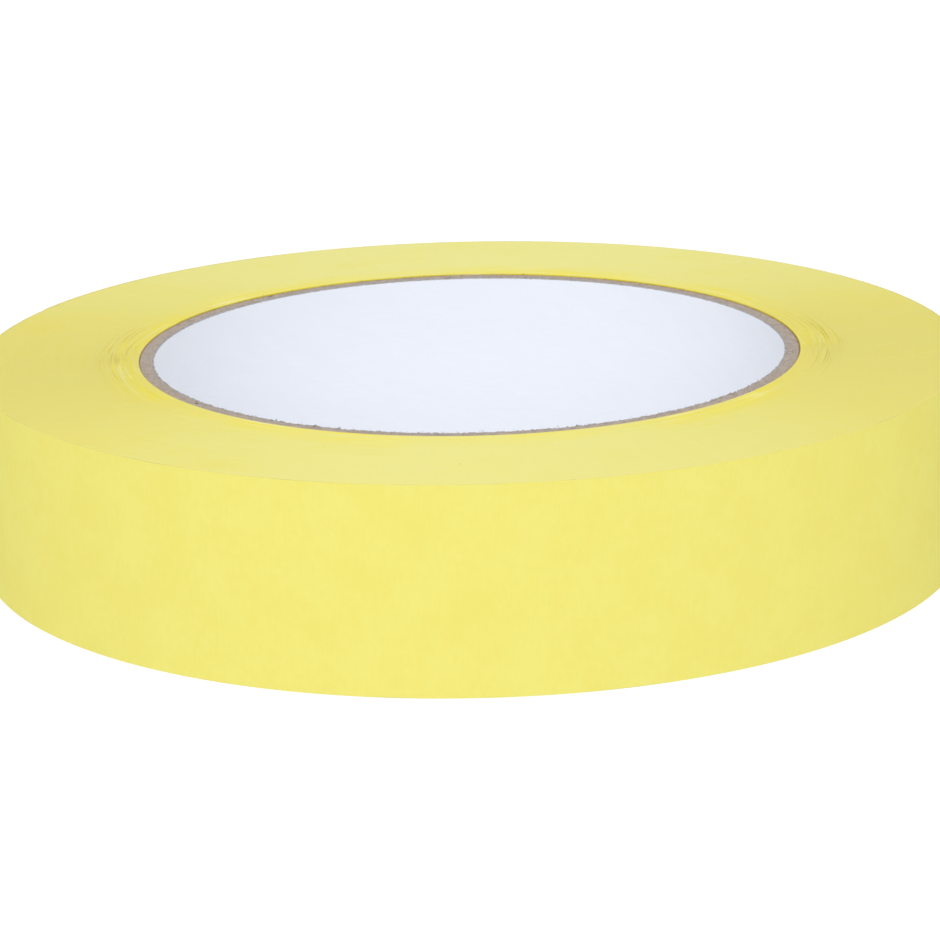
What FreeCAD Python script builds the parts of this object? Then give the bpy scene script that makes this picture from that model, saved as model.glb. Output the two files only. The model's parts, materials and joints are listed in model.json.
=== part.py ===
"""Roll of crepe paper masking tape on a spiral-wound paper core.

Frame: millimetres, +Z along the roll's axis, origin at the centre of the bore
in the plane of the lower face, so that the roll lies flat on Z = 0.

The core is six plies of paper, each a strip wound into a helix with a butt
seam.  The tape is one long ribbon of backing paper with adhesive on its inner
side.  Its wound turns are stuck into one ring, its last turn is a ribbon of
two layers, and its free end is a row of stretches, each on a hinge of its own,
so that it peels off the roll and folds back.
"""

import FreeCAD
import Part

import math
import os

Vector = FreeCAD.Vector

# ---- Driving dimensions, in millimetres and degrees ----

# Tape
TAPE_WIDTH = 24.0
BACKING_THICKNESS = 0.0925
ADHESIVE_THICKNESS = 0.030
TURNS = 160

# Core
BORE_DIAMETER = 76.2
LINER_THICKNESS = 0.20
BOARD_THICKNESS = 0.36
BOARD_PLIES = 4
WRAP_THICKNESS = 0.16
PLY_LEAD = 138.0  # what a strip climbs along the tube in one turn
SEAM_GAP = 0.30  # left between a strip's two edges, across the seam
LINER_SEAM_ANGLE = 240.0  # where the liner's seam meets the lower face
SEAM_STAGGER = 137.0  # from one ply's seam to the next ply's

# Free end
TIP_ANGLE = 155.0  # where the cut end of the tape lies
FREE_LENGTHS = (3.0, 3.0, 3.0, 3.0, 10.0, 18.0)  # from the peel line to the tip
FREE_CLEARANCE = 0.02  # between the free end and the turn under it
HINGE_GAP = 0.02  # between one stretch and the next, along the tape

# ---- Sizes worked out from them ----

TAPE_THICKNESS = BACKING_THICKNESS + ADHESIVE_THICKNESS
BORE_RADIUS = BORE_DIAMETER / 2
BOARD_RADIUS = BORE_RADIUS + LINER_THICKNESS
WRAP_RADIUS = BOARD_RADIUS + BOARD_PLIES * BOARD_THICKNESS
CORE_RADIUS = WRAP_RADIUS + WRAP_THICKNESS
ROLL_RADIUS = CORE_RADIUS + TURNS * TAPE_THICKNESS

QUARTERS = 4  # arcs in one turn of the ribbon's spiral
QUARTER_ANGLE = 360.0 / QUARTERS
QUARTER_STEP = TAPE_THICKNESS / QUARTERS  # what each arc adds to the radius


# ---- Plane geometry of the ribbon's spiral ----


def direction(angle):
    """Unit vector in the XY plane at this angle from +X."""
    a = math.radians(angle)
    return Vector(math.cos(a), math.sin(a), 0)


def spiral_centre(quarter):
    """Centre of one arc of a turn. Quarter 0 ends at the tip, and the others
    come before it.

    The four centres are the corners of a small square about the axis, so that
    each arc runs smoothly into the next and a turn gains one tape thickness.
    """
    centre = (direction(TIP_ANGLE) - direction(TIP_ANGLE - 90)) * (QUARTER_STEP / 2)
    for i in range(quarter):
        centre = centre + direction(TIP_ANGLE - (i + 1) * QUARTER_ANGLE) * QUARTER_STEP
    return centre


def spiral_radius(quarter):
    """Radius of the last turn's inner side along one arc, from its centre."""
    at_tip = ROLL_RADIUS - TAPE_THICKNESS - QUARTER_STEP / 2
    return at_tip - quarter * QUARTER_STEP


def arc(centre, radius, start, end):
    """Edge from the start angle to the end angle about a centre."""
    middle = (start + end) / 2
    points = [centre + direction(a) * radius for a in (start, middle, end)]
    return Part.Arc(*points).toShape()


def last_turn_arcs(offset, end_angle):
    """Arcs of the last turn up to an end angle, this far outside its inner side."""
    arcs = []
    for quarter in reversed(range(QUARTERS)):
        start = TIP_ANGLE - (quarter + 1) * QUARTER_ANGLE
        end = min(start + QUARTER_ANGLE, end_angle)
        if end > start:
            radius = spiral_radius(quarter) + offset
            arcs.append(arc(spiral_centre(quarter), radius, start, end))
    return arcs


def first_point(edge):
    """Where an arc starts."""
    return edge.valueAt(edge.FirstParameter)


def last_point(edge):
    """Where an arc ends."""
    return edge.valueAt(edge.LastParameter)


def line(start, end):
    """Straight edge between two points."""
    return Part.LineSegment(start, end).toShape()


def across_tape(edges):
    """Solid over the full width of the tape, from its outline in the plane Z = 0."""
    outline = Part.Wire(Part.__sortEdges__(edges))
    return Part.Face(outline).extrude(Vector(0, 0, TAPE_WIDTH))


# ---- Core ----


def seam_cutter(radius, thickness, seam_angle):
    """Slot along one ply's helical seam, a little longer and deeper than the ply."""
    run_out = 2.0
    depth = thickness + 2 * SEAM_GAP
    middle = radius + thickness / 2
    helix = Part.makeHelix(PLY_LEAD, TAPE_WIDTH + 2 * run_out, middle)
    edge = helix.Edges[0]
    start = first_point(edge)
    outward = Vector(start.x, start.y, 0).normalize() * (depth / 2)
    along = edge.tangentAt(edge.FirstParameter)
    sideways = along.cross(outward).normalize() * (SEAM_GAP / 2)
    corners = [
        start - outward - sideways,
        start + outward - sideways,
        start + outward + sideways,
        start - outward + sideways,
        start - outward - sideways,
    ]
    slot = Part.Wire(helix.Edges).makePipeShell([Part.makePolygon(corners)], True, True)
    slot.translate(Vector(0, 0, -run_out))
    before_face = 360.0 * run_out / PLY_LEAD
    slot.rotate(Vector(0, 0, 0), Vector(0, 0, 1), seam_angle - before_face)
    return slot


def ply(radius, thickness, seam_angle):
    """One strip of the core, wound round a radius, with its butt seam."""
    outside = Part.makeCylinder(radius + thickness, TAPE_WIDTH)
    tube = outside.cut(Part.makeCylinder(radius, TAPE_WIDTH))
    return tube.cut(seam_cutter(radius, thickness, seam_angle))


def core_plies():
    """All plies of the core from the bore outwards, by node name."""
    plies = {"core_liner": (BORE_RADIUS, LINER_THICKNESS)}
    for i in range(BOARD_PLIES):
        radius = BOARD_RADIUS + i * BOARD_THICKNESS
        plies[f"core_board_ply_{i + 1}"] = (radius, BOARD_THICKNESS)
    plies["core_wrap_ply"] = (WRAP_RADIUS, WRAP_THICKNESS)
    return {
        name: ply(radius, thickness, LINER_SEAM_ANGLE + i * SEAM_STAGGER)
        for i, (name, (radius, thickness)) in enumerate(plies.items())
    }


# ---- Tape ----


def wound_tape():
    """Every turn but the last, stuck into one ring with the ribbon's step on it."""
    arcs = last_turn_arcs(0, TIP_ANGLE)
    step = line(last_point(arcs[-1]), first_point(arcs[0]))
    return across_tape(arcs + [step]).cut(Part.makeCylinder(CORE_RADIUS, TAPE_WIDTH))


def last_turn(low, high):
    """One layer of the last turn, stuck down as far as the peel line."""
    inner = last_turn_arcs(low, peel_angle())
    outer = last_turn_arcs(high, peel_angle())
    start = line(first_point(outer[0]), first_point(inner[0]))
    end = line(last_point(outer[-1]), last_point(inner[-1]))
    return across_tape(inner + outer + [start, end])


# ---- Free end ----


def angle_along_end(length):
    """Angle that a length of the free end takes up on the roll."""
    return math.degrees(length / spiral_radius(0))


def peel_angle():
    """Where the stuck part of the last turn stops and the free end starts."""
    return TIP_ANGLE - angle_along_end(sum(FREE_LENGTHS))


def hinge_angle(i):
    """Where stretch i of the free end starts."""
    return peel_angle() + angle_along_end(sum(FREE_LENGTHS[:i]))


def hinge_point(i):
    """Point on the hinge line of stretch i, which runs along the tape's outer face."""
    outer = spiral_radius(0) + FREE_CLEARANCE + TAPE_THICKNESS
    return spiral_centre(0) + direction(hinge_angle(i)) * outer


def free_stretch(i, low, high):
    """One layer of stretch i of the free end, between two heights in the tape."""
    start = hinge_angle(i) + angle_along_end(HINGE_GAP)
    end = hinge_angle(i + 1)
    base = spiral_radius(0) + FREE_CLEARANCE
    centre = spiral_centre(0)
    inner = arc(centre, base + low, start, end)
    outer = arc(centre, base + high, start, end)
    sides = [
        line(first_point(inner), first_point(outer)),
        line(last_point(inner), last_point(outer)),
    ]
    return across_tape([inner, outer] + sides)


def tape_layers():
    """Heights in the tape's thickness between which each layer lies."""
    return {
        "adhesive": (0, ADHESIVE_THICKNESS),
        "backing": (ADHESIVE_THICKNESS, TAPE_THICKNESS),
    }


def tape_nodes():
    """The wound tape, the last turn and the free end, by node name."""
    nodes = {"wound_tape": wound_tape()}
    for layer, (low, high) in tape_layers().items():
        nodes[f"last_turn_{layer}"] = last_turn(low, high)
        for i in range(len(FREE_LENGTHS)):
            nodes[f"free_end_{layer}_{i + 1}"] = free_stretch(i, low, high)
    return nodes


def main():
    """Builds every node and writes it to its own STEP file."""
    os.makedirs("parts", exist_ok=True)
    for name, shape in {**core_plies(), **tape_nodes()}.items():
        shape.exportStep(f"parts/{name}.step")
        print(f"{name}: {shape.Volume:.2f} mm3, valid {shape.isValid()}")
    for i in range(len(FREE_LENGTHS)):
        point = hinge_point(i)
        print(f"hinge {i + 1}: x {point.x:.4f}, y {point.y:.4f}")
    print(f"roll diameter {2 * ROLL_RADIUS:.2f}, core diameter {2 * CORE_RADIUS:.2f}")
    area = math.pi * (ROLL_RADIUS**2 - CORE_RADIUS**2)
    print(f"tape length {area / TAPE_THICKNESS / 1000:.1f} m")


main()
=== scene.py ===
"""Masking tape roll: the looks of a roll of crepe paper tape on a paper core.

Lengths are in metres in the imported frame. +Z runs along the roll's axis, which
is at X = Y = 0, and the roll lies flat on Z = 0. Every sheet of paper, from the
core's liner to the tape's free end, is a strip wrapped round that axis, so one
Geometry Nodes tree makes them all from named sizes. A second tree makes the
loose fibres on the core's cut edges.
"""

import json
import logging
import math
from dataclasses import dataclass, field, fields
from enum import Enum
from typing import Any, Mapping, Sequence, Union

import bpy
from mathutils import Euler, Matrix, Vector


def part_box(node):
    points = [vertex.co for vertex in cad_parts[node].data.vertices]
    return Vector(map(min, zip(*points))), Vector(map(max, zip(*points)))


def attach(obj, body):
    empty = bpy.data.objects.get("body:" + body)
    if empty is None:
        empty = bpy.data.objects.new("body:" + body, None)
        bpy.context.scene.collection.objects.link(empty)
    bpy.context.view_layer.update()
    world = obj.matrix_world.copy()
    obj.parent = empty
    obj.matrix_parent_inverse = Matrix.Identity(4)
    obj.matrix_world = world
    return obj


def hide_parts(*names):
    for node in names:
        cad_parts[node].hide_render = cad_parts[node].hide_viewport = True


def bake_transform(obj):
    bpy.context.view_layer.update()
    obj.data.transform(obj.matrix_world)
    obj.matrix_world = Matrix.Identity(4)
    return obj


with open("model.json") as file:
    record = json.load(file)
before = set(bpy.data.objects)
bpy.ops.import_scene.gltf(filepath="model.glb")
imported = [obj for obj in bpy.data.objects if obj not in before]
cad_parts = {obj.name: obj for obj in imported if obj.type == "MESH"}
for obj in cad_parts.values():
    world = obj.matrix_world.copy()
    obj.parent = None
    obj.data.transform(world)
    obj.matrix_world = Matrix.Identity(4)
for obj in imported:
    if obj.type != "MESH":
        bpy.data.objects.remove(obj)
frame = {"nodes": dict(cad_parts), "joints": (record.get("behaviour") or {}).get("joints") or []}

LOG = logging.getLogger("tape_roll")
MM = 0.001
TURN = 2 * math.pi
SHEET = "sheet"  # attribute on every sheet: metres along it, share of its thickness, height

Socket = bpy.types.NodeSocket
Piece = bpy.types.Object


# ---- Node trees as Python expressions ----


class Value:
    """An output socket of a node tree, which arithmetic turns into Math nodes."""

    def __init__(self, nodes: "Nodes", socket: Socket) -> None:
        """Wraps an output socket that carries a number."""
        self.nodes = nodes
        self.socket = socket

    def __add__(self, other: "Operand") -> "Value":
        """This plus the other."""
        return self.nodes.math("ADD", self, other)

    def __sub__(self, other: "Operand") -> "Value":
        """This minus the other."""
        return self.nodes.math("SUBTRACT", self, other)

    def __mul__(self, other: "Operand") -> "Value":
        """This times the other."""
        return self.nodes.math("MULTIPLY", self, other)

    def __truediv__(self, other: "Operand") -> "Value":
        """This over the other."""
        return self.nodes.math("DIVIDE", self, other)

    def __pow__(self, other: "Operand") -> "Value":
        """This to the power of the other."""
        return self.nodes.math("POWER", self, other)

    def __radd__(self, other: "Operand") -> "Value":
        """The other plus this."""
        return self.nodes.math("ADD", other, self)

    def __rsub__(self, other: "Operand") -> "Value":
        """The other minus this."""
        return self.nodes.math("SUBTRACT", other, self)

    def __rmul__(self, other: "Operand") -> "Value":
        """The other times this."""
        return self.nodes.math("MULTIPLY", other, self)

    def __rtruediv__(self, other: "Operand") -> "Value":
        """The other over this."""
        return self.nodes.math("DIVIDE", other, self)


Operand = Union[Value, int, float]


class Nodes:
    """Builds one shader or geometry node tree."""

    # a Mix node's sockets for colours: their names are shared with the other kinds
    MIX_SHARE, MIX_FIRST, MIX_SECOND, MIX_RESULT = 0, 6, 7, 2

    def __init__(self, tree: bpy.types.NodeTree) -> None:
        """Starts on a tree."""
        self.tree = tree

    def add(
        self,
        kind: str,
        settings: Mapping[str, Any] | None = None,
        inputs: Mapping[Union[str, int], Any] | None = None,
    ) -> bpy.types.Node:
        """Adds one node, with its settings before its sockets.

        Args:
            kind: the node's type.
            settings: values of the node itself, such as a Math node's operation.
            inputs: a number, vector, colour, Value or socket for each socket's name or index.

        Returns:
            The new node.
        """
        node = self.tree.nodes.new(kind)
        for name, setting in (settings or {}).items():
            setattr(node, name, setting)
        for key, given in (inputs or {}).items():
            if isinstance(given, Value):
                given = given.socket
            if isinstance(given, Socket):
                self.tree.links.new(given, node.inputs[key])
            else:
                node.inputs[key].default_value = given
        return node

    def value(self, node: bpy.types.Node, output: Union[str, int] = 0) -> Value:
        """One output of a node, ready for arithmetic."""
        return Value(self, node.outputs[output])

    def math(self, operation: str, *operands: Operand) -> Value:
        """One Math node."""
        node = self.add("ShaderNodeMath", {"operation": operation}, dict(enumerate(operands)))
        return self.value(node)

    def sine(self, angle: Operand) -> Value:
        """Sine of an angle in radians."""
        return self.math("SINE", angle)

    def cosine(self, angle: Operand) -> Value:
        """Cosine of an angle in radians."""
        return self.math("COSINE", angle)

    def vector(self, x: Operand, y: Operand, z: Operand) -> Socket:
        """Vector of three numbers."""
        return self.add("ShaderNodeCombineXYZ", None, {"X": x, "Y": y, "Z": z}).outputs[0]

    def parts(self, vector: Socket) -> tuple[Value, Value, Value]:
        """The three numbers of a vector."""
        node = self.add("ShaderNodeSeparateXYZ", None, {"Vector": vector})
        return self.value(node, "X"), self.value(node, "Y"), self.value(node, "Z")

    def noise(self, place: Socket, detail: float = 1.0, scale: float = 1.0) -> Value:
        """Smooth noise about 0, mostly between -0.5 and 0.5, with scale waves per unit of the vector."""
        inputs = {"Vector": place, "Scale": scale, "Detail": detail}
        return self.value(self.add("ShaderNodeTexNoise", None, inputs)) - 0.5

    def pattern(self, across: Operand, up: Operand, seed: Operand, detail: float = 1.0) -> Value:
        """Smooth noise about 0 over two numbers, where each seed gives a pattern of its own."""
        return self.noise(self.vector(across, up, seed), detail)

    def smooth_step(self, value: Operand, low: Operand, high: Operand) -> Value:
        """0 below low and 1 above high, with a smooth rise between them."""
        inputs = {"Value": value, "From Min": low, "From Max": high}
        return self.value(self.add("ShaderNodeMapRange", {"interpolation_type": "SMOOTHSTEP"}, inputs))

    def mix(self, share: Operand, first: Any, second: Any) -> Socket:
        """Mixes two colours, or colour sockets: the share is of the second."""
        inputs = {self.MIX_SHARE: share, self.MIX_FIRST: first, self.MIX_SECOND: second}
        return self.add("ShaderNodeMix", {"data_type": "RGBA"}, inputs).outputs[self.MIX_RESULT]


# ---- Finishes ----


Colour = tuple[float, float, float]


def opaque(colour: Colour) -> tuple[float, float, float, float]:
    """A colour with full alpha, as a socket takes it."""
    return (*colour, 1.0)


@dataclass(frozen=True)
class Patch:
    """Where something shows over a noise: from where, in full from where, and how strongly."""

    start: float
    full: float
    strength: float = 1.0

    def share(self, nodes: Nodes, noise: Value) -> Value:
        """How much of it shows, from 0 to its strength."""
        return nodes.smooth_step(noise, self.start, self.full) * self.strength


@dataclass(frozen=True)
class Finish:
    """How one kind of surface looks. Each finish below paints its own colour and relief."""

    name: str
    roughness: float = 0.7
    specular: float = 0.5
    sheen: float = 0.0

    def material(self) -> bpy.types.Material:
        """Makes the finish's material.

        Returns:
            A material with a Principled shader.
        """
        made = bpy.data.materials.new(self.name)
        made.use_nodes = True
        nodes = Nodes(made.node_tree)
        shader = made.node_tree.nodes["Principled BSDF"]
        shader.inputs["Roughness"].default_value = self.roughness
        shader.inputs["Specular IOR Level"].default_value = self.specular
        shader.inputs["Sheen Weight"].default_value = self.sheen
        for socket, painted in self.paint(nodes).items():
            source = painted.socket if isinstance(painted, Value) else painted
            made.node_tree.links.new(source, shader.inputs[socket])
        return made

    def paint(self, nodes: Nodes) -> dict[str, Any]:
        """What changes over the surface, by the shader's socket."""
        raise NotImplementedError(self.name)

    @staticmethod
    def on_sheet(nodes: Nodes) -> tuple[Value, Value, Value]:
        """Metres along the sheet, share of its thickness, and height."""
        node = nodes.add("ShaderNodeAttribute", {"attribute_name": SHEET})
        return nodes.parts(node.outputs["Vector"])

    @staticmethod
    def in_space(nodes: Nodes) -> Socket:
        """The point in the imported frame."""
        return nodes.add("ShaderNodeTexCoord").outputs["Object"]

    @staticmethod
    def relief(nodes: Nodes, height: Value, depth: float) -> Socket:
        """Normal of a relief of about -0.5 to 0.5, whose depth is in metres."""
        inputs = {"Height": height, "Distance": depth, "Strength": 1.0}
        return nodes.add("ShaderNodeBump", None, inputs).outputs["Normal"]


@dataclass(frozen=True)
class CrepePaper(Finish):
    """Saturated yellow crepe paper: fine wrinkles across the tape, a cloudy tint, long pulp fibres, dirt
    smudges, and painted shade along its cut edges.
    """

    name: str = "crepe_paper"
    roughness: float = 0.75
    roughness_swing: float = 0.12
    specular: float = 0.10
    colour: Colour = (0.715, 0.664, 0.167)
    thin_colour: Colour = (0.706, 0.642, 0.150)
    pale_colour: Colour = (0.722, 0.676, 0.182)
    # colour of the dirt smudges, and of the painted shade along the cut edges
    grime: Colour = (0.42, 0.38, 0.20)
    low: float = field(kw_only=True)  # height of the tape's lower edge
    high: float = field(kw_only=True)  # height of its upper edge
    edge_shade_reach: float = 0.10 * MM
    upper_share: float = 3.0  # how many times narrower the painted edge shade is at the upper edge
    wrinkle: float = 0.35 * MM
    wrinkle_width: float = 1.75 * MM
    fibre: float = 0.9 * MM
    fibre_width: float = 0.12 * MM
    cloud: float = 6.0 * MM
    mottle: float = 1.2 * MM
    edge_shade_patch: float = 9.0 * MM
    wrinkle_weight: float = 0.5  # beside the clouds, in the tint
    mottle_weight: float = 0.6
    full_tint: Patch = Patch(-0.25, 0.25)
    pale_fibres: Patch = Patch(0.12, 0.30, 0.5)
    smudges: Patch = Patch(0.36, 0.42, 0.2)
    grimy: Patch = Patch(-0.05, 0.20, 0.6)
    depth: float = 0.02 * MM
    fibre_relief: float = 0.25  # beside the wrinkles

    def paint(self, nodes: Nodes) -> dict[str, Any]:
        """Paints the paper's face.

        Args:
            nodes: the material's tree.

        Returns:
            Its colour, roughness and relief.
        """
        along, _, height = self.on_sheet(nodes)
        wrinkles = nodes.pattern(along / self.wrinkle, height / self.wrinkle_width, seed=0, detail=3)
        clouds = nodes.pattern(along / self.cloud, height / self.cloud, seed=3, detail=3)
        fibres = nodes.pattern(along / self.fibre, height / self.fibre_width, seed=7, detail=2)
        mottle = nodes.pattern(along / self.mottle, height / self.mottle, seed=13, detail=2)
        grime = nodes.pattern(along / self.edge_shade_patch, height / self.high, seed=9, detail=2)
        thickness = clouds + wrinkles * self.wrinkle_weight + mottle * self.mottle_weight
        colour = nodes.mix(
            self.full_tint.share(nodes, thickness), opaque(self.thin_colour), opaque(self.colour)
        )
        colour = nodes.mix(self.pale_fibres.share(nodes, fibres), colour, opaque(self.pale_colour))
        colour = nodes.mix(self.smudges.share(nodes, mottle), colour, opaque(self.grime))
        # painted shade: a darker grey-brown band along both cut edges, widest at the lower edge next to
        # the floor
        to_edge = nodes.math("MINIMUM", height - self.low, (self.high - height) * self.upper_share)
        at_shaded_edge = 1 - nodes.smooth_step(to_edge + wrinkles * self.edge_shade_reach, 0.0, self.edge_shade_reach)
        colour = nodes.mix(at_shaded_edge * self.grimy.share(nodes, grime), colour, opaque(self.grime))
        return {
            "Base Color": colour,
            "Roughness": self.roughness + wrinkles * self.roughness_swing,
            "Normal": self.relief(nodes, wrinkles + fibres * self.fibre_relief, self.depth),
        }


@dataclass(frozen=True)
class WoundEdges(Finish):
    """The tape's slit edges, side by side: paper and adhesive in every turn, dusty and a little matted,
    with painted shade in the grooves between turns.
    """

    name: str = "wound_edges"
    roughness: float = 0.85
    specular: float = 0.12
    crest: Colour = (0.75, 0.745, 0.345)
    # deep, saturated yellow: painted shade in the grooves between turns, and the random deeper bands
    groove: Colour = (0.71, 0.585, 0.03)
    streak: Colour = (0.79, 0.69, 0.09)
    pale: Colour = (0.80, 0.78, 0.40)
    speck: Colour = (0.30, 0.25, 0.12)
    core_radius: float = field(kw_only=True)
    tight_radius: float = 45.5 * MM  # as far as the tight first turns look deeper
    tight_tint: float = 0.18
    grain: float = 0.07 * MM
    cloud: float = 9.0 * MM
    band: float = 0.8 * MM  # width of a band of turns
    band_run: float = 120 * MM  # tape in a wave of its colour
    streak_width: float = 0.36 * MM
    streak_run: float = 8 * MM
    smudge: float = 1.1 * MM
    spot: float = 0.5 * MM
    grain_weight: float = 0.4  # beside the place in the turn
    cloud_weight: float = 0.5  # beside the streaks
    streak_strength: float = 0.10
    tight_strength: float = 0.90  # what the tight turns add to it
    groove_shade_share: Patch = Patch(0.1, 0.9)
    deep_bands: Patch = Patch(0.0, 0.5, 0.3)
    deep_streaks: Patch = Patch(-0.04, 0.16)
    pale_streaks: Patch = Patch(0.08, 0.28)
    smudges: Patch = Patch(0.34, 0.42, 0.3)
    spots: Patch = Patch(0.405, 0.42)
    depth: float = 0.015 * MM
    band_relief: float = 0.3  # beside the grain

    def paint(self, nodes: Nodes) -> dict[str, Any]:
        """Paints the roll's flat faces.

        Args:
            nodes: the material's tree.

        Returns:
            Their colour and relief.
        """
        along, layer, _ = self.on_sheet(nodes)
        space = self.in_space(nodes)
        x, y, _ = nodes.parts(space)
        radius = nodes.math("SQRT", x * x + y * y)
        grain = nodes.noise(space, detail=2, scale=1 / self.grain)
        clouds = nodes.noise(space, detail=3, scale=1 / self.cloud)
        bands = nodes.pattern(radius / self.band, along / self.band_run, seed=1, detail=3)
        streaks = nodes.pattern(radius / self.streak_width, along / self.streak_run, seed=4, detail=2)
        # painted shade: each turn darker and more saturated towards its grooves, paler at its crest
        from_middle = nodes.math("ABSOLUTE", layer - 0.5) * 2 + grain * self.grain_weight
        colour = nodes.mix(
            self.groove_shade_share.share(nodes, from_middle), opaque(self.crest), opaque(self.groove)
        )
        colour = nodes.mix(self.deep_bands.share(nodes, bands + clouds), colour, opaque(self.groove))
        tight = 1 - nodes.smooth_step(radius, self.core_radius, self.tight_radius)
        colour = nodes.mix(tight * self.tight_tint, colour, opaque(self.streak))
        strength = self.streak_strength + tight * self.tight_strength
        shaded = clouds * self.cloud_weight
        deep = self.deep_streaks.share(nodes, streaks + shaded)
        colour = nodes.mix(deep * strength, colour, opaque(self.streak))
        pale = self.pale_streaks.share(nodes, shaded - streaks)
        colour = nodes.mix(pale * strength, colour, opaque(self.pale))
        smudges = nodes.noise(space, detail=1, scale=1 / self.smudge)
        colour = nodes.mix(self.smudges.share(nodes, smudges), colour, opaque(self.speck))
        spots = nodes.noise(space, detail=0, scale=1 / self.spot)
        colour = nodes.mix(self.spots.share(nodes, spots), colour, opaque(self.speck))
        return {
            "Base Color": colour,
            "Normal": self.relief(nodes, grain + bands * self.band_relief, self.depth),
        }


@dataclass(frozen=True)
class Adhesive(Finish):
    """Pressure-sensitive adhesive on the tape's inner side: glossy in patches, with the crepe under it."""

    name: str = "adhesive"
    roughness: float = 0.38
    roughness_swing: float = 0.15
    specular: float = 0.4
    colour: Colour = (0.735, 0.665, 0.20)
    thick_colour: Colour = (0.715, 0.635, 0.175)
    wrinkle: float = 0.35 * MM
    wrinkle_width: float = 1.8 * MM
    coat: float = 5.0 * MM
    thick: Patch = Patch(-0.3, 0.3)
    depth: float = 0.012 * MM
    coat_relief: float = 0.5  # beside the wrinkles

    def paint(self, nodes: Nodes) -> dict[str, Any]:
        """Paints the coated side.

        Args:
            nodes: the material's tree.

        Returns:
            Its colour, gloss and relief.
        """
        along, _, height = self.on_sheet(nodes)
        wrinkles = nodes.pattern(along / self.wrinkle, height / self.wrinkle_width, seed=0, detail=3)
        coat = nodes.pattern(along / self.coat, height / self.coat, seed=5, detail=2)
        return {
            "Base Color": nodes.mix(
                self.thick.share(nodes, coat), opaque(self.colour), opaque(self.thick_colour)
            ),
            "Roughness": self.roughness + coat * self.roughness_swing,
            "Normal": self.relief(nodes, wrinkles + coat * self.coat_relief, self.depth),
        }


@dataclass(frozen=True)
class LinerPaper(Finish):
    """White paper that lines the bore: smooth, cloudy, and grey with board dust at its cut edges."""

    name: str = "white_paper"
    roughness: float = 0.6
    specular: float = 0.4
    colour: Colour = (0.725, 0.75, 0.81)
    cloud_colour: Colour = (0.71, 0.738, 0.80)
    edge_colour: Colour = (0.34, 0.33, 0.32)
    low: float = field(kw_only=True)  # height of the core's lower edge
    high: float = field(kw_only=True)  # height of its upper edge
    dust: float = 0.16 * MM
    cloud: float = 4.0 * MM
    pulp: float = 0.5 * MM
    pulp_width: float = 0.3 * MM
    white: Patch = Patch(-0.2, 0.3)
    depth: float = 0.012 * MM

    def paint(self, nodes: Nodes) -> dict[str, Any]:
        """Paints the liner.

        Args:
            nodes: the material's tree.

        Returns:
            Its colour and relief.
        """
        along, _, height = self.on_sheet(nodes)
        clouds = nodes.pattern(along / self.cloud, height / self.cloud, seed=0, detail=4)
        pulp = nodes.pattern(along / self.pulp, height / self.pulp_width, seed=2, detail=3)
        colour = nodes.mix(
            self.white.share(nodes, clouds), opaque(self.cloud_colour), opaque(self.colour)
        )
        to_edge = nodes.math("MINIMUM", height - self.low, self.high - height)
        dusty = 1 - nodes.smooth_step(to_edge + pulp * self.dust, 0.0, self.dust)
        colour = nodes.mix(dusty, colour, opaque(self.edge_colour))
        return {"Base Color": colour, "Normal": self.relief(nodes, pulp + clouds, self.depth)}


@dataclass(frozen=True)
class Board(Finish):
    """Recycled board: a matted mix of pale, brown and grey fibres, cut across."""

    name: str = "grey_board"
    roughness: float = 0.9
    specular: float = 0.25
    sheen: float = 0.1
    colour: Colour = (0.42, 0.345, 0.29)
    dark_colour: Colour = (0.33, 0.27, 0.225)
    pale_colour: Colour = (0.52, 0.47, 0.43)
    fibre: float = 0.12 * MM
    clump: float = 0.96 * MM
    fibre_weight: float = 0.6  # beside the clumps
    full_colour: Patch = Patch(-0.3, 0.2)
    pale_fibres: Patch = Patch(0.08, 0.30, 0.7)
    depth: float = 0.03 * MM

    def paint(self, nodes: Nodes) -> dict[str, Any]:
        """Paints the board.

        Args:
            nodes: the material's tree.

        Returns:
            Its colour and relief.
        """
        space = self.in_space(nodes)
        clumps = nodes.noise(space, detail=3, scale=1 / self.clump)
        fibres = nodes.noise(space, detail=3, scale=1 / self.fibre)
        mixed = clumps + fibres * self.fibre_weight
        colour = nodes.mix(
            self.full_colour.share(nodes, mixed), opaque(self.dark_colour), opaque(self.colour)
        )
        colour = nodes.mix(self.pale_fibres.share(nodes, fibres), colour, opaque(self.pale_colour))
        return {"Base Color": colour, "Normal": self.relief(nodes, fibres, self.depth)}


# ---- Sheets wrapped round the roll's axis ----


@dataclass
class Sheet:
    """Sizes of one sheet of paper that is wrapped round the axis.

    Angles are in radians and carry on past a turn. Each field is a named input
    of the Geometry Nodes tree that SheetTree builds.
    """

    start_angle: float
    end_angle: float
    end_radius: float  # of the inner side, at the end angle
    thickness: float
    bottom: float
    top: float
    columns: int
    rows: int
    layers: int = 1
    growth: float = 0.0  # what a radian adds to the radius
    twist: float = 0.0  # radians round the axis for each metre up it
    crepe_depth: float = 0.0
    crepe_length: float = 0.4 * MM
    crepe_width: float = 2.2 * MM
    fray_depth: float = 0.0
    fray_size: float = 0.15 * MM
    burr_depth: float = 0.0
    burr_size: float = 0.7 * MM
    crown: float = 0.0  # how far the middle of a cut edge stands above its sides
    step_depth: float = 0.0
    loose_depth: float = 0.0
    loose_radius: float = 43.0 * MM
    loose_width: float = 2.0 * MM
    seed: float = 0.0


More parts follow.
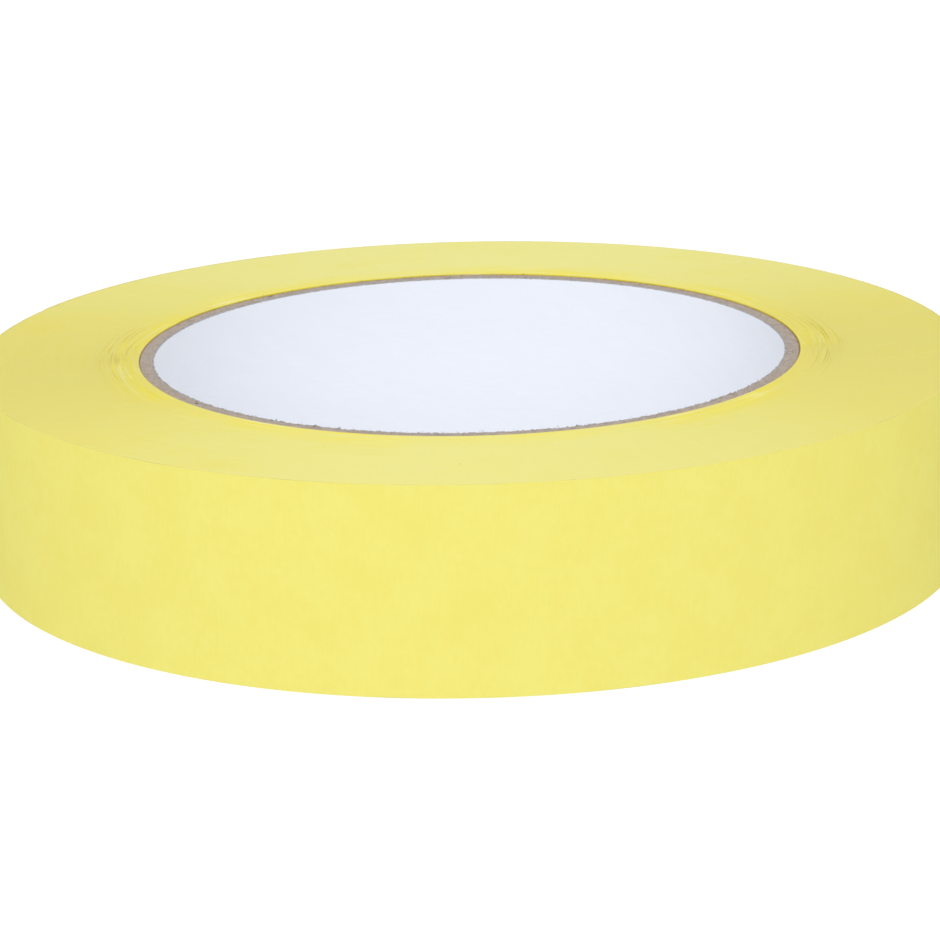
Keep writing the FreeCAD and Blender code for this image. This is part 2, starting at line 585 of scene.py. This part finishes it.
class ShapeTree:
    """A Geometry Nodes tree with a named input for each size of one kind of shape."""

    NAME = ""
    SIZES: type

    def __init__(self) -> None:
        """Builds the tree: its inputs, its shape, and an output of real geometry."""
        self.tree = bpy.data.node_groups.new(self.NAME, "GeometryNodeTree")
        self.nodes = Nodes(self.tree)
        self.sockets = {}
        for size in fields(self.SIZES):
            kind = "NodeSocketInt" if size.type is int else "NodeSocketFloat"
            self.sockets[size.name] = self._input(size.name.replace("_", " ").title(), kind)
        self.material_socket = self._input("Material", "NodeSocketMaterial")
        self.tree.interface.new_socket("Shape", in_out="OUTPUT", socket_type="NodeSocketGeometry")
        given = self.nodes.add("NodeGroupInput")
        size = {name: self.nodes.value(given, i) for i, name in enumerate(self.sockets)}
        shape = self._shape(size)
        real = self.nodes.add("GeometryNodeRealizeInstances", None, {"Geometry": shape})
        inputs = {"Geometry": real.outputs[0], "Material": given.outputs["Material"]}
        dressed = self.nodes.add("GeometryNodeSetMaterial", None, inputs)
        self.nodes.add("NodeGroupOutput", None, {"Shape": dressed.outputs[0]})

    def _input(self, name: str, kind: str) -> str:
        """Adds an input to the tree and returns its identifier."""
        return self.tree.interface.new_socket(name, in_out="INPUT", socket_type=kind).identifier

    def _shape(self, size: Mapping[str, Value]) -> Socket:
        """The shape, from the tree's inputs."""
        raise NotImplementedError(self.NAME)

    def make(self, name: str, sizes: Any, material: bpy.types.Material) -> Piece:
        """Runs the tree and keeps its result as a plain mesh.

        Args:
            name: the piece's name.
            sizes: its sizes, as the tree's own dataclass.
            material: its finish.

        Returns:
            A linked object at the origin, with its place in its mesh and no modifiers.
        """
        made = bpy.data.objects.new(name, bpy.data.meshes.new(name))
        bpy.context.scene.collection.objects.link(made)
        modifier = made.modifiers.new("shape", "NODES")
        modifier.node_group = self.tree
        for size in fields(sizes):
            modifier[self.sockets[size.name]] = getattr(sizes, size.name)
        modifier[self.material_socket] = material
        bpy.context.view_layer.update()
        graph = bpy.context.evaluated_depsgraph_get()
        mesh = bpy.data.meshes.new_from_object(made.evaluated_get(graph), depsgraph=graph)
        made.modifiers.remove(modifier)
        made.data = mesh
        mesh.name = name
        return made


class SheetTree(ShapeTree):
    """Wraps a sheet round the axis as a closed mesh, frays its cut edges and lifts its loose turns."""

    NAME = "wrapped_sheet"
    SIZES = Sheet
    SHARP = math.radians(35)  # faces that meet at more than this have a sharp edge between them
    AT_EDGE = Patch(0.985, 1.0)  # share of the half height where a row belongs to a cut edge
    BURRS = Patch(0.08, 0.32)
    STANDING = Patch(-0.02, 0.16)
    SWAY = 0.7  # of the fray's depth, across the sheet
    BURR_LEAN = 0.6  # of a burr's depth, towards the axis
    # what sets a sheet's noises, and those of its two cut edges, apart
    SIDE_SEED, SWAY_SEED, BURR_SEED, BURR_SIDE_SEED = 11.3, 5.7, 21.1, 7.9
    DRIFT = 3.7  # how fast the turns' steps change from one turn to the next
    LOOSE_FLOOR = 0.08  # share of the loose turns' height that is left away from the two sides
    LOOSE_POWER = 20  # the higher it is, the shorter the loose stretches
    WIDE_WAVES, WIDE_GROUP = 2.0, 0.62 * MM  # round the roll, and out from the core
    NARROW_WAVES, NARROW_GROUP, NARROW_WEIGHT = 4.0, 0.25 * MM, 0.9

    def _shape(self, size: Mapping[str, Value]) -> Socket:
        """Adds the nodes that make the sheet.

        Args:
            size: the tree's inputs.

        Returns:
            The sheet's mesh.
        """
        nodes = self.nodes
        block = nodes.add(
            "GeometryNodeMeshCube",
            None,
            {
                "Size": (1.0, 1.0, 1.0),
                "Vertices X": size["columns"] + 1,
                "Vertices Y": size["layers"] + 1,
                "Vertices Z": size["rows"] + 1,
            },
        )
        x, y, z = nodes.parts(nodes.add("GeometryNodeInputPosition").outputs[0])
        along_share, depth_share, high_share = x + 0.5, 0.5 - y, z + 0.5

        # rows crowd towards both cut edges, where the detail is
        crowded = high_share * high_share * (3 - 2 * high_share)
        high = size["bottom"] + (size["top"] - size["bottom"]) * crowded
        wound = size["start_angle"] + (size["end_angle"] - size["start_angle"]) * along_share
        inner = size["end_radius"] + size["growth"] * (wound - size["end_angle"])
        middle = inner + size["thickness"] * 0.5
        radius = inner + size["thickness"] * depth_share
        angle = wound + size["twist"] * (high - size["bottom"])
        along = wound * middle

        seed, fray_size = size["seed"], size["fray_size"]
        crepe = nodes.pattern(along / size["crepe_length"], high / size["crepe_width"], seed, detail=2)
        radius = radius + size["crepe_depth"] * 2 * crepe

        # the cut edges: 1 at the top edge, -1 at the bottom edge, and 0 between them
        side = (crowded - 0.5) * 2
        at_edge = self.AT_EDGE.share(nodes, nodes.math("ABSOLUTE", side))
        edge = at_edge * nodes.math("SIGN", side)
        fray = nodes.pattern(along / fray_size, radius / fray_size, seed + edge * self.SIDE_SEED, detail=2)
        sway = nodes.pattern(along / fray_size, high / fray_size, seed + self.SWAY_SEED)
        burr_noise = nodes.pattern(
            along / size["burr_size"], seed + self.BURR_SEED, edge * self.BURR_SIDE_SEED, detail=2
        )
        burr = self.BURRS.share(nodes, burr_noise)
        high = high + edge * (size["fray_depth"] * fray + size["burr_depth"] * burr)
        lean = size["fray_depth"] * self.SWAY * sway - size["burr_depth"] * self.BURR_LEAN * burr
        radius = radius + at_edge * lean

        high = high - edge * size["crown"] * (2 * depth_share - 1) * (2 * depth_share - 1)
        high = nodes.math("MAXIMUM", high + self._shift(size, wound, middle), 0.0)

        place = nodes.vector(radius * nodes.cosine(angle), radius * nodes.sine(angle), high)
        on_sheet = nodes.vector(along, depth_share, high)
        named = nodes.add(
            "GeometryNodeStoreNamedAttribute",
            {"data_type": "FLOAT_VECTOR", "domain": "POINT"},
            {"Geometry": block.outputs["Mesh"], "Name": SHEET, "Value": on_sheet},
        )
        placed = nodes.add(
            "GeometryNodeSetPosition", None, {"Geometry": named.outputs[0], "Position": place}
        )
        bend = nodes.value(nodes.add("GeometryNodeInputMeshEdgeAngle"), "Unsigned Angle")
        sharp = nodes.math("GREATER_THAN", bend, self.SHARP)
        return nodes.add(
            "GeometryNodeSetShadeSmooth",
            {"domain": "EDGE"},
            {"Geometry": placed.outputs[0], "Selection": sharp, "Shade Smooth": False},
        ).outputs[0]

    def _shift(self, size: Mapping[str, Value], wound: Value, middle: Value) -> Value:
        """How far the turns sit above their places, most of all the loose ones at the two sides.

        Args:
            size: the tree's inputs.
            wound: angle of the winding.
            middle: radius at the middle of the sheet's thickness.

        Returns:
            A height, never below 0.
        """
        nodes, seed = self.nodes, size["seed"]
        cosine, sine = nodes.cosine(wound), nodes.sine(wound)
        step = nodes.pattern(cosine + wound / TURN * self.DRIFT, sine, seed)
        off = (middle - size["loose_radius"]) / size["loose_width"]
        at_sides = (cosine * cosine) ** self.LOOSE_POWER
        lobes = self.LOOSE_FLOOR + (1 - self.LOOSE_FLOOR) * at_sides
        loose = nodes.math("EXPONENT", -1 * off * off) * lobes
        wide = nodes.pattern(
            cosine * self.WIDE_WAVES, sine * self.WIDE_WAVES, middle / self.WIDE_GROUP + seed
        )
        narrow = nodes.pattern(
            cosine * self.NARROW_WAVES, sine * self.NARROW_WAVES, middle / self.NARROW_GROUP - seed
        )
        standing = self.STANDING.share(nodes, wide + narrow * self.NARROW_WEIGHT)
        lift = size["step_depth"] * (0.5 + step) + size["loose_depth"] * loose * standing
        return nodes.math("MAXIMUM", lift, 0.0)


# ---- Loose fibres ----


@dataclass
class Fibres:
    """Sizes of the loose fibres along one round cut edge."""

    count: int
    inner_radius: float
    outer_radius: float
    height: float
    up: float  # 1 where they stand up, -1 where they hang down
    length: float
    seed: int
    thickness: float = 0.022 * MM


class FibreTree(ShapeTree):
    """Scatters bent fibres over a flat ring."""

    NAME = "loose_fibres"
    SIZES = Fibres
    # one fibre of length 1, which starts a little inside the board
    FIBRE = {
        "Resolution": 5,
        "Start": (0.0, 0.0, -0.15),
        "Start Handle": (0.0, 0.1, 0.3),
        "End Handle": (0.35, -0.1, 0.5),
        "End": (0.7, 0.1, 0.45),
    }
    SIDES = 4
    TILT = 0.7
    SHORTEST, LONGEST = 0.35, 1.5
    # a Random Value node's sockets for numbers: their names are shared with the other kinds
    LOW, HIGH, NUMBER = 2, 3, 1

    def _random(self, low: Operand, high: Operand, seed: Operand) -> Value:
        """A random number for each fibre.

        Args:
            low: the lowest that it can be.
            high: the highest that it can be.
            seed: which draw it is.

        Returns:
            The number.
        """
        inputs = {self.LOW: low, self.HIGH: high, "Seed": seed}
        node = self.nodes.add("FunctionNodeRandomValue", {"data_type": "FLOAT"}, inputs)
        return self.nodes.value(node, self.NUMBER)

    def _shape(self, size: Mapping[str, Value]) -> Socket:
        """Adds the nodes that make the fibres.

        Args:
            size: the tree's inputs.

        Returns:
            The fibres, as instances of one.
        """
        nodes, seed = self.nodes, size["seed"]
        angle = self._random(0.0, TURN, seed)
        radius = self._random(size["inner_radius"], size["outer_radius"], seed + 1)
        place = nodes.vector(radius * nodes.cosine(angle), radius * nodes.sine(angle), size["height"])
        points = nodes.add("GeometryNodePoints", None, {"Count": size["count"], "Position": place})
        line = nodes.add("GeometryNodeCurvePrimitiveBezierSegment", None, self.FIBRE)
        thick = size["thickness"] / size["length"] * 0.5
        section = nodes.add(
            "GeometryNodeCurvePrimitiveCircle",
            {"mode": "RADIUS"},
            {"Resolution": self.SIDES, "Radius": thick},
        )
        fibre = nodes.add(
            "GeometryNodeCurveToMesh",
            None,
            {"Curve": line.outputs[0], "Profile Curve": section.outputs[0], "Fill Caps": True},
        )
        turn = nodes.vector(
            self._random(-self.TILT, self.TILT, seed + 2) + (1 - size["up"]) * (math.pi / 2),
            self._random(-self.TILT, self.TILT, seed + 3),
            self._random(0.0, TURN, seed + 4),
        )
        turned = nodes.add("FunctionNodeEulerToRotation", None, {0: turn})
        scale = size["length"] * self._random(self.SHORTEST, self.LONGEST, seed + 5)
        return nodes.add(
            "GeometryNodeInstanceOnPoints",
            None,
            {
                "Points": points.outputs[0],
                "Instance": fibre.outputs[0],
                "Rotation": turned.outputs[0],
                "Scale": nodes.vector(scale, scale, scale),
            },
        ).outputs[0]


# ---- What the sub-assemblies share ----


class Slot(Enum):
    """The record's material slots."""

    CREPE = "crepe_paper"
    EDGES = "wound_edges"
    ADHESIVE = "adhesive"
    LINER = "white_paper"
    BOARD = "grey_board"
    KRAFT = "kraft_paper"


class Workshop:
    """The finishes and the trees that all the sub-assemblies are made with."""

    def __init__(self, tape: "Tape", core: "PaperCore") -> None:
        """Makes the materials and the Geometry Nodes trees.

        Args:
            tape: gives the heights of its own edges.
            core: gives the heights of the liner's edges.
        """
        kraft = Board(
            name="kraft_paper",
            colour=(0.33, 0.21, 0.14),
            dark_colour=(0.24, 0.14, 0.09),
            pale_colour=(0.42, 0.30, 0.20),
        )
        crepe = CrepePaper(low=tape.ragged, high=tape.width)
        edges = WoundEdges(core_radius=tape.core_radius)
        liner = LinerPaper(low=core.recess, high=core.height - core.recess)
        finishes = (crepe, edges, Adhesive(), liner, Board(), kraft)
        self.materials = {Slot(finish.name): finish.material() for finish in finishes}
        self.sheets = SheetTree()
        self.fibres = FibreTree()

    def sheet(self, name: str, sheet: Sheet, slot: Slot, node: str) -> Piece:
        """Makes a sheet that stands for a CAD node.

        Args:
            name: the piece's name.
            sheet: its sizes.
            slot: its finish.
            node: the CAD node that it stands for.

        Returns:
            The new piece, which rides on nothing yet.
        """
        made = self.sheets.make(name, sheet, self.materials[slot])
        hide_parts(node)
        LOG.info("%s: %d faces", name, len(made.data.polygons))
        return made


@dataclass
class Tape:
    """The tape's own sizes, and the spiral that it follows.

    The spiral ends at the cut end of the tape, where its inner side is one
    thickness inside the roll's outer radius.
    """

    width: float
    tip_angle: float
    tip_radius: float  # of the inner side, at the tip
    core_radius: float = 39.9 * MM
    backing: float = 0.0925 * MM
    adhesive: float = 0.030 * MM
    ragged: float = 0.010 * MM  # how far a cut edge strays from a true line
    crepe: float = 0.013 * MM  # depth of the outer turn's wrinkles

    @property
    def thickness(self) -> float:
        """Of backing and adhesive together."""
        return self.backing + self.adhesive

    @property
    def growth(self) -> float:
        """What a radian of winding adds to the radius."""
        return self.thickness / TURN

    @property
    def first_angle(self) -> float:
        """Where the winding starts, on the core."""
        return self.tip_angle - (self.tip_radius - self.core_radius) / self.growth

    @property
    def layers(self) -> dict[str, tuple[float, float, Slot]]:
        """Where each layer lies in the tape's thickness, and its finish."""
        adhesive = (0.0, self.adhesive, Slot.ADHESIVE)
        return {"adhesive": adhesive, "backing": (self.adhesive, self.thickness, Slot.CREPE)}

    def inner_radius(self, angle: float) -> float:
        """Radius of the tape's inner side at an angle of the winding."""
        return self.tip_radius - self.growth * (self.tip_angle - angle)

    def stretch(self, start: float, end: float, low: float, high: float, **more: Any) -> Sheet:
        """Sizes of a stretch of one layer of the tape.

        Args:
            start: the winding's angle where it starts.
            end: the angle where it ends.
            low: height of the layer's inner side in the tape's thickness.
            high: height of its outer side.
            more: other fields of the Sheet.

        Returns:
            The stretch as a Sheet.
        """
        return Sheet(
            start_angle=start,
            end_angle=end,
            end_radius=self.inner_radius(end) + low,
            thickness=high - low,
            bottom=self.ragged,
            top=self.width,
            growth=self.growth,
            **more,
        )


# ---- Core ----


@dataclass
class PaperCore:
    """The spiral-wound paper core: white liner, four board plies and a kraft wrap."""

    height: float
    bore_radius: float = 38.1 * MM
    liner: float = 0.20 * MM
    board: float = 0.36 * MM
    plies: int = 4
    wrap: float = 0.16 * MM
    lead: float = 138.0 * MM  # what a strip climbs in one turn
    seam: float = 0.30 * MM
    liner_seam_angle: float = math.radians(240)
    stagger: float = math.radians(137)
    recess: float = 0.16 * MM  # of the core's cut edges, below the tape's
    column: float = 0.16 * MM
    rows: int = 24

    def ply(self, number: int, radius: float, thickness: float, **more: Any) -> Sheet:
        """Sizes of one ply of the core.

        Args:
            number: which ply it is, from the bore outwards.
            radius: of its inner side.
            thickness: of the ply.
            more: other fields of the Sheet.

        Returns:
            The ply as a Sheet.
        """
        gap = self.seam * math.hypot(1.0, self.lead / (TURN * radius)) / (self.lead / TURN)
        start = self.liner_seam_angle + number * self.stagger + gap / 2
        return Sheet(
            start_angle=start,
            end_angle=start + TURN - gap,
            end_radius=radius,
            thickness=thickness,
            bottom=self.recess,
            top=self.height - self.recess,
            twist=TURN / self.lead,
            columns=round(TURN * radius / self.column),
            rows=self.rows,
            seed=3.1 * number,
            **more,
        )

    def build(self, shop: Workshop) -> list[Piece]:
        """Makes the core's pieces.

        Args:
            shop: the finishes and trees.

        Returns:
            The pieces, which all ride on the roll.
        """
        made = []
        sheet = self.ply(
            0, self.bore_radius, self.liner, layers=2,
            fray_depth=0.50 * MM, fray_size=0.30 * MM, burr_depth=0.44 * MM, crepe_depth=0.004 * MM,
            crepe_length=3 * MM, crepe_width=5 * MM,
        )
        made.append(shop.sheet("liner_paper", sheet, Slot.LINER, "core_liner"))
        radius = self.bore_radius + self.liner
        for i in range(self.plies):
            sheet = self.ply(
                i + 1, radius, self.board, layers=4,
                fray_depth=0.12 * MM, burr_depth=0.20 * MM if i == 0 else 0.03 * MM,
            )
            made.append(shop.sheet(f"board_ply_{i + 1}", sheet, Slot.BOARD, f"core_board_ply_{i + 1}"))
            radius += self.board
        sheet = self.ply(self.plies + 1, radius, self.wrap, layers=2, fray_depth=0.05 * MM)
        made.append(shop.sheet("kraft_wrap", sheet, Slot.KRAFT, "core_wrap_ply"))
        made += self.fuzz(shop)
        for piece in made:
            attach(piece, "roll")
        return made

    def fuzz(self, shop: Workshop) -> list[Piece]:
        """Makes the loose fibres on both cut edges.

        Args:
            shop: the finishes and trees.

        Returns:
            One piece for each edge.
        """
        made = []
        edges = {"upper": (self.height - self.recess, 1.0), "lower": (self.recess, -1.0)}
        for seed, (edge, (height, up)) in enumerate(edges.items()):
            fibres = Fibres(
                count=2400,
                inner_radius=self.bore_radius,
                outer_radius=self.bore_radius + self.liner + self.plies * self.board,
                height=height,
                up=up,
                length=0.30 * MM if up > 0 else 0.10 * MM,
                seed=10 * seed + 4,
            )
            piece = shop.fibres.make(f"core_fibres_{edge}", fibres, shop.materials[Slot.BOARD])
            made.append(piece)
        return made


# ---- Roll ----


@dataclass
class WoundRoll:
    """The wound turns and the last turn, as far as the peel line."""

    tape: Tape
    peel_angle: float
    segments: int = 100  # in each wound turn
    overlap: float = math.radians(1.0)
    column: float = 0.14 * MM
    adhesive_rows: int = 4
    backing_rows: int = 16

    def build(self, shop: Workshop) -> list[Piece]:
        """Makes the roll's pieces.

        Args:
            shop: the finishes and trees.

        Returns:
            The pieces, which all ride on the roll.
        """
        tape = self.tape
        last_start = self.peel_angle - TURN - self.overlap
        turns = (last_start - tape.first_angle) / TURN
        wound = tape.stretch(
            tape.first_angle, last_start, 0.0, tape.thickness,
            columns=round(turns * self.segments), rows=1, layers=2,
            crown=0.034 * MM, step_depth=0.010 * MM, loose_depth=0.16 * MM, seed=2.0,
        )
        made = [shop.sheet("wound_turns", wound, Slot.EDGES, "wound_tape")]
        length = (self.peel_angle - last_start) * tape.tip_radius
        rows = {"adhesive": self.adhesive_rows, "backing": self.backing_rows}
        for layer, (low, high, slot) in tape.layers.items():
            sheet = tape.stretch(
                last_start, self.peel_angle, low, high,
                columns=round(length / self.column), rows=rows[layer],
                crepe_depth=tape.crepe, fray_depth=tape.ragged,
            )
            made.append(shop.sheet(f"outer_turn_{layer}", sheet, slot, f"last_turn_{layer}"))
        for piece in made:
            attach(piece, "roll")
        return made


# ---- Free end ----


@dataclass
class FreeEnd:
    """The tape's free end, a piece of each layer for each hinge that it bends across."""

    tape: Tape
    hinge_angles: list[float]  # from the peel line to the last stretch's start
    clearance: float = 0.02 * MM
    column: float = 0.14 * MM
    rows: int = 16

    def middles(self) -> list[float]:
        """Angle at the middle of each stretch."""
        ends = self.hinge_angles[1:] + [self.tape.tip_angle]
        return [(a + b) / 2 for a, b in zip(self.hinge_angles, ends)]

    def point(self, angle: float) -> Vector:
        """Point on the tape's outer face at an angle, at half height."""
        radius = self.tape.inner_radius(angle) + self.clearance + self.tape.thickness
        return Vector((radius * math.cos(angle), radius * math.sin(angle), self.tape.width / 2))

    def build(self, shop: Workshop) -> list[Piece]:
        """Makes the free end's pieces, one for each layer of each stretch.

        Args:
            shop: the finishes and trees.

        Returns:
            The pieces.
        """
        middles = self.middles()
        starts = [self.hinge_angles[0]] + middles[:-1]
        ends = middles[:-1] + [self.tape.tip_angle]
        bodies = ["roll"] + [f"free_end_{i + 1}" for i in range(len(middles))]
        made = []
        for i, (start, end) in enumerate(zip(starts, ends)):
            for layer, (low, high, slot) in self.tape.layers.items():
                sheet = self.tape.stretch(
                    start, end, low + self.clearance, high + self.clearance,
                    columns=round((end - start) * self.tape.tip_radius / self.column), rows=self.rows,
                    crepe_depth=self.tape.crepe, fray_depth=self.tape.ragged,
                )
                number = i + 1
                piece = shop.sheet(f"peeling_{layer}_{number}", sheet, slot, f"free_end_{layer}_{number}")
                bodies[i + 1]
                self.point(start)
                self.point(middles[i])
                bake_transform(piece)
                made.append(piece)
        return made


# ---- Studio ----


@dataclass(frozen=True)
class Lamp:
    """A square lamp that faces the roll."""

    name: str
    place: tuple[float, float, float]
    size: float
    power: float  # watts

    def build(self) -> None:
        """Makes the lamp and aims it."""
        data = bpy.data.lights.new(self.name, "AREA")
        data.shape = "SQUARE"
        data.size = self.size
        data.energy = self.power
        lamp = bpy.data.objects.new(self.name, data)
        lamp.location = self.place
        lamp.rotation_euler = (-Vector(self.place)).to_track_quat("-Z", "Y").to_euler()
        bpy.context.scene.collection.objects.link(lamp)


@dataclass
class Studio:
    """A pale floor, soft white light from all round, and the camera."""

    aim: Vector = field(default_factory=lambda: Vector((-0.22, 0.0, 8.66)) * MM)
    distance: float = 466.5 * MM
    elevation: float = math.radians(15.925)
    roll: float = math.radians(-1.258)
    lens: float = 146.25  # in mm, as the sensor's width is
    sensor: float = 36.0
    nearest: float = 0.01
    farthest: float = 20.0
    white: Colour = (1.0, 1.0, 1.0)
    floor_colour: Colour = (0.12, 0.12, 0.12)
    floor_roughness: float = 0.9
    floor_glow: float = 0.92
    floor_reach: float = 4.0
    sky: float = 0.74
    lamps: tuple[Lamp, ...] = (
        Lamp("front", (0.0, -0.9, 0.55), 0.8, 5.3),
        Lamp("back", (0.3, 0.9, 0.5), 0.8, 2.5),
        Lamp("left", (-0.8, -0.1, 0.35), 0.5, 0.8),
        Lamp("right", (0.8, -0.1, 0.35), 0.5, 0.3),
    )

    def camera(self) -> None:
        """Places the camera in front of the roll, a little above it."""
        data = bpy.data.cameras.new("camera")
        data.lens = self.lens
        data.sensor_width = self.sensor
        data.clip_start, data.clip_end = self.nearest, self.farthest
        camera = bpy.data.objects.new("camera", data)
        bpy.context.scene.collection.objects.link(camera)
        back = Vector((0.0, -math.cos(self.elevation), math.sin(self.elevation)))
        turn = Euler((math.pi / 2 - self.elevation, 0.0, 0.0)).to_matrix().to_4x4()
        camera.matrix_world = (
            Matrix.Translation(self.aim + back * self.distance) @ turn @ Matrix.Rotation(self.roll, 4, "Z")
        )
        bpy.context.scene.camera = camera

    def floor(self) -> None:
        """Makes the floor, bright enough to run into the white all round it."""
        material = bpy.data.materials.new("floor")
        material.use_nodes = True
        shader = material.node_tree.nodes["Principled BSDF"]
        shader.inputs["Base Color"].default_value = opaque(self.floor_colour)
        shader.inputs["Roughness"].default_value = self.floor_roughness
        shader.inputs["Specular IOR Level"].default_value = 0.0
        shader.inputs["Emission Color"].default_value = opaque(self.white)
        shader.inputs["Emission Strength"].default_value = self.floor_glow
        mesh = bpy.data.meshes.new("floor")
        reach = self.floor_reach
        corners = [(-reach, -reach, 0), (reach, -reach, 0), (reach, reach, 0), (-reach, reach, 0)]
        mesh.from_pydata(corners, [], [(0, 1, 2, 3)])
        mesh.materials.append(material)
        floor = bpy.data.objects.new("floor", mesh)
        bpy.context.scene.collection.objects.link(floor)

    def light(self) -> None:
        """Lights the roll from all round, and softly from both sides and the front."""
        world = bpy.data.worlds.new("studio")
        world.use_nodes = True
        background = world.node_tree.nodes["Background"]
        background.inputs["Color"].default_value = opaque(self.white)
        background.inputs["Strength"].default_value = self.sky
        bpy.context.scene.world = world
        for lamp in self.lamps:
            lamp.build()

    def build(self) -> None:
        """Sets the whole studio up."""
        bpy.context.scene.view_settings.view_transform = "Standard"
        self.camera()
        self.floor()
        self.light()


# ---- The whole roll ----


def angle_of(point: Sequence[float]) -> float:
    """Angle of a point round the axis, from 0 to a full turn."""
    return math.atan2(point[1], point[0]) % TURN


def read_tape(packed: Mapping[str, Any]) -> tuple[Tape, list[float]]:
    """Reads the tape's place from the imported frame.


    Returns:
        The tape, and the angles of the free end's hinges.
    """
    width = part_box("wound_tape")[1].z
    hinges = sorted(angle_of(joint["pos_m"]) for joint in packed["joints"])
    last = packed["nodes"][f"free_end_backing_{len(hinges)}"].data.vertices
    tip = max((vertex.co for vertex in last), key=lambda co: (round(angle_of(co), 4), co.xy.length))
    tape = Tape(width=width, tip_angle=angle_of(tip), tip_radius=0.0)
    tape.tip_radius = tip.xy.length - FreeEnd.clearance - tape.thickness
    return tape, hinges


def main(packed: Mapping[str, Any]) -> None:
    """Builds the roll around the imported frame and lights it.
    """
    logging.basicConfig(level=logging.INFO, format="%(name)s: %(message)s")
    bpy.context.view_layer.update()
    tape, hinges = read_tape(packed)
    core = PaperCore(height=tape.width)
    shop = Workshop(tape, core)
    core.build(shop)
    WoundRoll(tape=tape, peel_angle=hinges[0]).build(shop)
    FreeEnd(tape=tape, hinge_angles=hinges).build(shop)
    Studio().build()


if __name__ == "__main__":
    main(frame)
